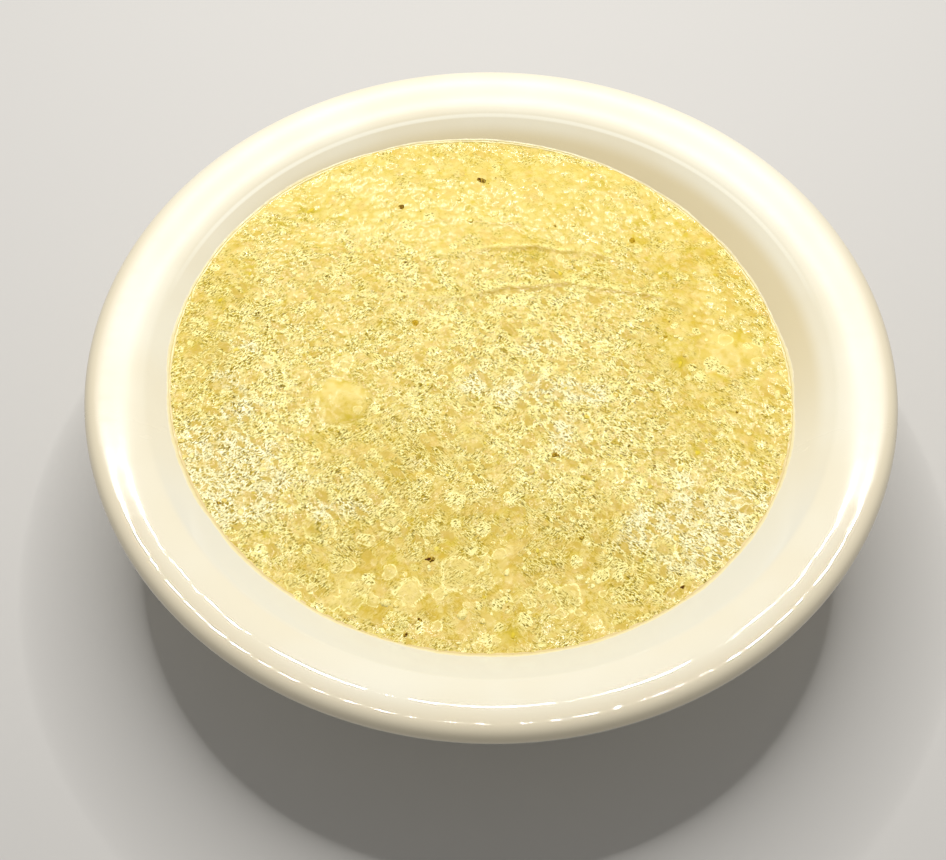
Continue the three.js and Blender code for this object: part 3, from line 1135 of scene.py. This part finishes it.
def ridge_colour(tree, place, colour, lively, gel):
    """The colour with its darks and its painted shade and highlights, and the fine noise and the pits for the
    relief.
    """
    fine, glint_stroke, stroke_shade = dragged_patterns(tree, place)
    crowd, crust = crowding(tree, place, lively, gel)
    drop, border = gel_drops(tree, place, gel)
    colour = blend(tree, times(tree, drop, band(tree, lively, 0.2, 0.8)), colour, GOLDEN_DROP)

    open_ground = without(tree, drop)
    colour = blend(tree, times(tree, open_ground, crowd, 0.7), colour, BETWEEN_GRAINS)
    colour = blend(tree, times(tree, stroke_shade, open_ground, crowd, 0.8), colour, OLIVE_SHADE)
    # Painted shade darkens the pits.
    pits = times(tree, band(tree, fine, 0.35, 0.44, 1.0, 0.0), open_ground, crowd)
    colour = blend(tree, pits, colour, PIT_SHADE)

    # Painted white glare in the liveliest places, and painted glints along the ridges and the drops' borders.
    glint_patch = cloud(tree, place, 2.4, (9, -23, 0), 0.62, 0.74)
    glint_clump = times(tree, glint_patch, band(tree, lively, 0.75, 1.0), 0.65)
    glint_line = most(tree, times(tree, glint_stroke, open_ground), times(tree, border, 0.8), glint_clump)
    bare_stain = band(tree, attribute_of(tree, "stain"), 0.3, 0.8, 1.0, 0.45)
    glint_line = times(tree, glint_line, band(tree, fine, 0.36, 0.45, 0.3, 1.0), crowd, bare_stain)
    grainy = band(tree, fine, 0.4, 0.52, 0.1, 1.0)
    outline = outline_highlight(tree, lively, grainy)
    crumbs = times(tree, crust, band(tree, fine, 0.44, 0.54), 0.8)
    # The colour of the painted highlights, which the crumbs on crusted grains share.
    highlight_colour = blend(tree, band(tree, lively, 0.85, 1.0), GLINT_LIGHT, GLINT_WHITE)
    colour = blend(tree, most(tree, glint_line, outline, crumbs), colour, highlight_colour)

    colour = blend(tree, times(tree, attribute_of(tree, "stain"), 0.35), colour, BRAN_STAIN)
    # Painted shade along the folds' feet and inside the lumps' outlines, and a painted highlight along their
    # crests.
    colour = blend(tree, times(tree, attribute_of(tree, "groove_shade"), 0.85), colour, FOLD_GROOVE_SHADE)
    colour = blend(tree, times(tree, attribute_of(tree, "crest_highlight"), grainy), colour, GLINT_LIGHT)
    return colour, fine, pits


# %% [markdown]
# ### The whole finish
# All of it is wet, which is a clear coat over a soft, half matt body. Smooth gel and lumps would mirror
# the lamps in one glaring patch, so the coat thins there. The pits are dull and have none. The bump is the
# finest grains, a ripple and the fine noise.

# %% The grits material
def grits_material():
    material, shader = principled(
        "wet_grits", IOR=1.3, Specular_IOR_Level=0.3, Coat_Roughness=0.12, Coat_IOR=1.3,
    )
    tree = material.node_tree
    place = millimetres(tree)
    lively = attribute_of(tree, "lively")
    gel = attribute_of(tree, "gel")
    colour = starch_colour(tree, place, lively, gel)
    colour, dome = grain_colour(tree, place, colour, gel)
    colour, fine, pits = ridge_colour(tree, place, colour, lively, gel)
    feed(tree, shader.inputs["Base Color"], colour)

    body = band(tree, noise_of(tree, place, 5), 0.35, 0.65, 0.3, 0.45)
    feed(tree, shader.inputs["Roughness"], plus(tree, body, times(tree, pits, 0.5)))
    smooth = plus(tree, gel, times(tree, attribute_of(tree, "lump"), 0.5))
    coat = times(tree, band(tree, smooth, 0.15, 0.6, 1.0, 0.2), band(tree, pits, 0.0, 0.5, 1.0, 0.0))
    feed(tree, shader.inputs["Coat Weight"], coat)

    ripple = noise_of(tree, place, 0.55, 1.0)
    relief = plus(tree, times(tree, dome, 0.13), times(tree, ripple, 0.05), times(tree, fine, 0.02))
    relief = times(tree, relief, band(tree, lively, 0.0, 1.0, 0.3, 1.0), band(tree, gel, 0.3, 0.9, 1.0, 0.5))
    feed(tree, shader.inputs["Normal"], bumped(tree, relief, 0.4 * MM))
    feed(tree, shader.inputs["Coat Normal"], bumped(tree, relief, 1 * MM))
    return material


dress(grits, grits_material())

# %% [markdown]
# ## The film along the wall
# Wet starch climbs the ware a little way and sets there: a bead at its foot, then a skin that thins out
# to nothing. One section is struck, spun round the axis, and each point of the ring is moved out to the
# wall at the height that the grits reach there. Its crest and its thickness wander on the way round.

# %% Spin the film
FILM_SECTION = (  # up the wall from the grits' edge, and out from the ware, in millimetres
    (-0.9, -0.15), (-0.9, 0.2), (-0.1, 0.24), (0.08, 0.2), (0.2, 0.06), (0.32, 0.05), (0.44, 0.12),
    (0.56, 0.04), (0.9, 0.02), (1.05, -0.03), (1.05, -0.15),
)
FILM_STEPS = 640
WALL_SLOPE = radians(46)
SPUN_RADIUS = 64 * MM


def starch_film():
    bm = bmesh.new()
    points = [bm.verts.new((SPUN_RADIUS + out * MM, 0, up * MM)) for up, out in FILM_SECTION]
    for first, second in zip(points, points[1:] + points[:1]):
        bm.edges.new((first, second))
    bmesh.ops.spin(
        bm, geom=bm.verts[:] + bm.edges[:], cent=(0, 0, 0), axis=(0, 0, 1),
        angle=2 * pi, steps=FILM_STEPS, use_merge=True,
    )
    bmesh.ops.remove_doubles(bm, verts=bm.verts, dist=0.001 * MM)
    climb = bm.verts.layers.float.new("climb")
    for vertex in bm.verts:
        azimuth = np.arctan2(vertex.co.y, vertex.co.x)
        up, out = vertex.co.z, vertex.co.xy.length - SPUN_RADIUS
        along = Vector((cos(azimuth), sin(azimuth), 0)) * SPUN_RADIUS
        vertex[climb] = up / MM
        if up > 0:  # the film climbs higher at the near side, and its crest wanders
            up *= 1.0 - 0.4 * sin(azimuth)
            up *= 0.95 + 0.5 * noise.noise(along / (11 * MM)) + 0.15 * noise.noise(along / (2 * MM))
        if out > 0:  # its thickness wanders more, in beads
            out *= 0.9 + 0.9 * noise.noise(along / (1.2 * MM) + Vector((0, 0, 3 * up / MM)))
        z = EDGE_LEVEL + wave_height(1, azimuth) + max(up, -1 * MM) * sin(WALL_SLOPE)
        away = wall_radius(z) - out * sin(WALL_SLOPE)
        vertex.co = (away * cos(azimuth), away * sin(azimuth), z + out * cos(WALL_SLOPE))
    bmesh.ops.recalc_face_normals(bm, faces=bm.faces)
    return finished(bm, "starch_film")


film = starch_film()
print("film has", len(film.data.polygons), "faces")
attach(film, "root")

# %% [markdown]
# ## The film's finish
# The film is the same starch, seen thin. Its colour follows how far up the ware it has climbed: wet and
# golden at the foot, then a dry pale bead, and at last so thin that the cream ware shows through. At the
# near side the bowl was tilted when it was carried, so the starch ran there and left hardly any bead.

# %% The film's material
FILM_BEAD = linear(255, 244, 190)
FILM_WET = linear(228, 204, 122)
FILM_TAN = linear(226, 202, 146)
FILM_THIN = linear(244, 230, 178)
FILM_END = linear(243, 236, 212)


def film_material():
    material, shader = principled("set_starch", IOR=1.3, Coat_Weight=0.6, Coat_Roughness=0.15, Coat_IOR=1.3)
    tree = material.node_tree
    place = millimetres(tree)
    uneven = noise_of(tree, place, 1.2)
    wander = times(tree, arithmetic(tree, "SUBTRACT", uneven, 0.5), 0.5)
    climb = plus(tree, attribute_of(tree, "climb"), wander)
    stops = (
        (0.0, FILM_WET), (0.25, FILM_BEAD), (0.38, FILM_WET), (0.5, FILM_BEAD), (0.62, FILM_THIN),
        (1.0, FILM_END),
    )
    climbed = plus(tree, times(tree, climb, 0.7), 0.2)
    beaded = ramp(tree, climbed, *stops)
    run_down = ramp(tree, climbed, (0.0, FILM_WET), (0.3, FILM_TAN), (0.62, FILM_THIN), (1.0, FILM_END))
    away_from_eater = add(tree, "SeparateXYZ", in_0=place).outputs[1]
    far = band(tree, away_from_eater, -30, 25, 0.15, 1.0)
    feed(tree, shader.inputs["Base Color"], blend(tree, far, run_down, beaded))
    feed(tree, shader.inputs["Roughness"], band(tree, uneven, 0.4, 0.6, 0.2, 0.4))
    feed(tree, shader.inputs["Normal"], bumped(tree, uneven, 0.15 * MM))
    return material


dress(film, film_material())

# %% [markdown]
# ## Loose grains
# Some grains lie on the surface, half sunk and slicked over. Each is a small flattened ball with few
# faces, dented by noise so that no two are alike. They stand on the heap: the nearest point of its
# surface gives the height. The bran and the specks are laid with the same helpers further down.

# %% Small dented balls
def surface_at(x, y):
    """The index and the height of the heap's nearest point."""
    _, index, _ = nearest.find((x, y, 0))
    return index, height[index]


def bits_bmesh():
    """An empty bmesh in which each point keeps the tone of the bit that it belongs to."""
    bm = bmesh.new()
    bm.verts.layers.float.new("tone")
    return bm


def dented_ball(bm, place, size, turn, tilt=0.0, wobble=0.2):
    """Adds one dented ball, with half sizes, turned about the upright and tilted a little."""
    turned = Matrix.Rotation(turn, 4, "Z") @ Matrix.Rotation(tilt, 4, "X")
    pose = Matrix.Translation(place) @ turned @ Matrix.Diagonal((*size, 1))
    drift = Vector((random.uniform(-50, 50), random.uniform(-50, 50), random.uniform(-50, 50)))
    made = bmesh.ops.create_uvsphere(bm, u_segments=8, v_segments=5, radius=1)["verts"]
    for vertex in made:
        dent = wobble * 1.6 * noise.noise(vertex.co * 1.1 + drift)
        vertex.co = pose @ (vertex.co * (1 + dent))
    return made


def give_tone(bm, vertices, tone):
    """Writes one bit's tone on all its points."""
    layer = bm.verts.layers.float["tone"]
    for vertex in vertices:
        vertex[layer] = tone


def laid(bm, name):
    """The finished piece of many bits, riding with the rest."""
    piece = finished(bm, name)
    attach(piece, "root")
    return piece


# %% [markdown]
# ### Where they lie
# The large pale ones near the wall are placed. The rest fall anywhere, and one is kept more often where
# the starch is deep or the wall is near, and less often on a lump.

# %% Scatter the loose grains
LOOSE_GRAINS = 320
PLACED_GRAINS = (  # x, y, half length, half width and direction in degrees, of the large pale ones
    (59.8, -2.4, 1.5, 0.8, 80), (58.9, -9.9, 1.3, 0.7, 70), (61.0, 3.2, 1.1, 0.6, 95),
    (57.2, -15.5, 1.0, 0.6, 60), (-4.5, -54.0, 1.5, 1.1, 60), (10.4, -60.2, 1.3, 0.7, 10),
    (-19.0, -52.0, 1.3, 1.0, 0),
)


def loose_grains():
    bm = bits_bmesh()
    for grain_x, grain_y, half_length, half_width, turn in PLACED_GRAINS:
        _, top = surface_at(grain_x * MM, grain_y * MM)
        size = (half_length * MM, half_width * MM, 0.5 * half_width * MM)
        place = (grain_x * MM, grain_y * MM, top - 0.2 * half_width * MM)
        give_tone(bm, dented_ball(bm, place, size, radians(turn)), 1.0)
    laid_grains = len(PLACED_GRAINS)
    while laid_grains < LOOSE_GRAINS:
        away, turn = reach * 0.985 * random.random() ** 0.5, random.uniform(0, 2 * pi)
        grain_x, grain_y = away * cos(turn), away * sin(turn)
        index, top = surface_at(grain_x, grain_y)
        wanted = 0.1 + 0.6 * gel[index] + 0.6 * max(0, away / reach - 0.8) - 0.5 * lump[index]
        if random.random() > wanted or to_wall[index] < 0.8 * MM:
            continue
        length = random.triangular(0.45, 1.2, 0.6) * MM
        width = length * random.uniform(0.65, 1.0)
        thick = width * random.uniform(0.15, 0.25)
        place = (grain_x, grain_y, top - 0.6 * thick)
        made = dented_ball(bm, place, (length, width, thick), random.uniform(0, pi))
        give_tone(bm, made, random.random())
        laid_grains += 1
    return laid(bm, "loose_grains")


grains = loose_grains()
print("loose grains have", sum(len(face.vertices) - 2 for face in grains.data.polygons), "triangles")

# %% [markdown]
# ## The loose grains' finish
# A loose grain is cream to gold, cloudy inside, and carries the same painted glints and shade of crooked
# wet ridges as the heap, so that it looks sunk into it and not dropped on it.

# %% The loose grains' material
GRAIN_CREAM = linear(246, 232, 150)
GRAIN_GOLD = linear(232, 204, 96)


def grain_material():
    material, shader = principled(
        "swollen_corn", IOR=1.3, Coat_Weight=0.5, Coat_Roughness=0.12, Coat_IOR=1.3,
    )
    tree = material.node_tree
    place = millimetres(tree)
    tone = attribute_of(tree, "tone")
    colour = blend(tree, band(tree, tone, 0.1, 0.7), GRAIN_GOLD, GRAIN_CREAM)
    cloudy = noise_of(tree, place, 0.7)
    colour = blend(tree, band(tree, cloudy, 0.5, 0.7, 0.0, 0.6), colour, STARCH)
    # Painted shade and a painted highlight along crooked wet ridges.
    glint_line, shade = lines_of(tree, place, 0.9, 0.05)
    colour = blend(tree, times(tree, shade, 0.5), colour, OLIVE_SHADE)
    colour = blend(tree, times(tree, glint_line, 0.7), colour, GLINT_LIGHT)
    feed(tree, shader.inputs["Base Color"], colour)
    feed(tree, shader.inputs["Roughness"], band(tree, cloudy, 0.35, 0.65, 0.25, 0.4))
    normal = bumped(tree, cloudy, 0.08 * MM)
    feed(tree, shader.inputs["Normal"], normal)
    feed(tree, shader.inputs["Coat Normal"], normal)
    return material


dress(grains, grain_material())

# %% [markdown]
# ## Bran and germ
# Corn is milled with a little of its hull and germ left in. The hull shows as soft lemon flakes, thin
# and flush with the surface. The germ's tips are dark specks, brown to olive, and a few are large. Both
# are flattened balls again. The large ones are placed, and the small ones are scattered.

# %% Lay the bran and the dark specks
BRAN_FLAKES = (  # x, y, half length, half width, direction in degrees, and strength of colour
    (5.1, -58.1, 0.9, 0.5, 75, 0.9), (-40.9, 43.0, 1.2, 0.45, 35, 0.9), (-58.1, 17.2, 0.8, 0.5, 60, 0.9),
    (39.8, 4.5, 0.9, 0.5, 70, 0.9), (42.0, -17.5, 0.8, 0.6, 10, 0.9), (-52.5, 25.0, 1.0, 0.4, 85, 0.9),
)
DARK_SPECKS = (  # x, y, half length, half width, direction in degrees, and darkness
    (-2.9, 53.5, 1.2, 0.75, 160, 0.9), (-20.7, 44.9, 0.85, 0.6, 20, 0.6), (-19.1, 29.4, 0.6, 0.45, 0, 0.75),
    (-16.3, 13.4, 1.15, 0.95, 30, 0.2), (-11.1, -42.6, 1.15, 0.6, 10, 1.0), (-53.1, -31.8, 0.6, 0.45, 0, 0.7),
    (-15.3, -58.5, 0.55, 0.4, 50, 0.7), (-12.6, -55.4, 0.7, 0.4, 160, 0.8), (18.4, -37.3, 0.65, 0.4, 20, 1.0),
    (50.9, -7.0, 0.45, 0.4, 0, 0.7), (37.0, 11.6, 0.8, 0.35, 170, 0.35), (30.9, 38.0, 0.95, 0.8, 60, 0.3),
    (13.3, -18.5, 0.9, 0.6, 20, 0.5), (3.9, 15.3, 0.6, 0.35, 160, 0.45), (37.4, -47.7, 0.6, 0.4, 30, 0.8),
)
SMALL_BRAN = 60
SMALL_SPECKS = 46
BRAN_LENGTH = 0.8 * MM  # half the length of the largest small flake
SPECK_LENGTH = 0.42 * MM
BRAN_THICKNESS = 0.15 * MM
SPECK_THICKNESS = 0.2 * MM
FLAKE_DENTS = 0.45


def flakes(name, placed, scattered, largest, thickness):
    """Lays flat flakes: the placed ones, then a number of small ones anywhere."""
    bm = bits_bmesh()
    for flake_x, flake_y, half_length, half_width, turn, tone in placed:
        _, top = surface_at(flake_x * MM, flake_y * MM)
        size = (half_length * MM, half_width * MM, thickness)
        place = (flake_x * MM, flake_y * MM, top - 0.4 * thickness)
        made = dented_ball(bm, place, size, radians(turn), random.uniform(-0.1, 0.1), FLAKE_DENTS)
        give_tone(bm, made, tone)
    for _ in range(scattered):
        away, turn = reach * 0.96 * random.random() ** 0.5, random.uniform(0, 2 * pi)
        flake_x, flake_y = away * cos(turn), away * sin(turn)
        _, top = surface_at(flake_x, flake_y)
        length = random.triangular(0.3, 1.0, 0.45) * largest
        size = (length, length * random.uniform(0.45, 0.9), thickness * 0.8)
        place = (flake_x, flake_y, top - 0.4 * thickness)
        turn = random.uniform(0, pi)
        made = dented_ball(bm, place, size, turn, random.uniform(-0.2, 0.2), FLAKE_DENTS)
        give_tone(bm, made, random.uniform(0.15, 0.8))
    return laid(bm, name)


bran = flakes("bran_flakes", BRAN_FLAKES, SMALL_BRAN, BRAN_LENGTH, BRAN_THICKNESS)
specks = flakes("dark_specks", DARK_SPECKS, SMALL_SPECKS, SPECK_LENGTH, SPECK_THICKNESS)
print(len(bran.data.polygons) + len(specks.data.polygons), "faces of bran and specks")

# %% [markdown]
# ## The flakes' finish
# One recipe serves both kinds. The tone of each flake moves it between a weak and a strong colour, with
# dark bits in it, and starch that clings to it mottles it, so that its outline breaks up.

# %% The flakes' materials
BRAN_LEMON = linear(226, 202, 60)
BRAN_PALE = linear(240, 222, 110)
SPECK_DARK = linear(80, 42, 4)
SPECK_OLIVE = linear(186, 150, 26)


def flake_material(name, weak, strong):
    """A flake whose colour runs from weak to strong by its tone, mottled with starch."""
    material, shader = principled(name, IOR=1.3, Specular_IOR_Level=0.15)
    tree = material.node_tree
    place = millimetres(tree)
    mottle = noise_of(tree, place, 0.4)
    own_tone = band(tree, attribute_of(tree, "tone"), 0.2, 1.0)
    colour = blend(tree, plus(tree, own_tone, band(tree, mottle, 0.36, 0.46, 0.35, 0.0)), weak, strong)
    colour = blend(tree, band(tree, mottle, 0.5, 0.6, 0.0, 0.75), colour, STARCH)
    feed(tree, shader.inputs["Base Color"], colour)
    feed(tree, shader.inputs["Roughness"], band(tree, mottle, 0.3, 0.7, 0.45, 0.65))
    feed(tree, shader.inputs["Normal"], bumped(tree, mottle, 0.1 * MM))
    return material


dress(bran, flake_material("wet_bran", BRAN_PALE, BRAN_LEMON))
dress(specks, flake_material("germ_tips", SPECK_OLIVE, SPECK_DARK))
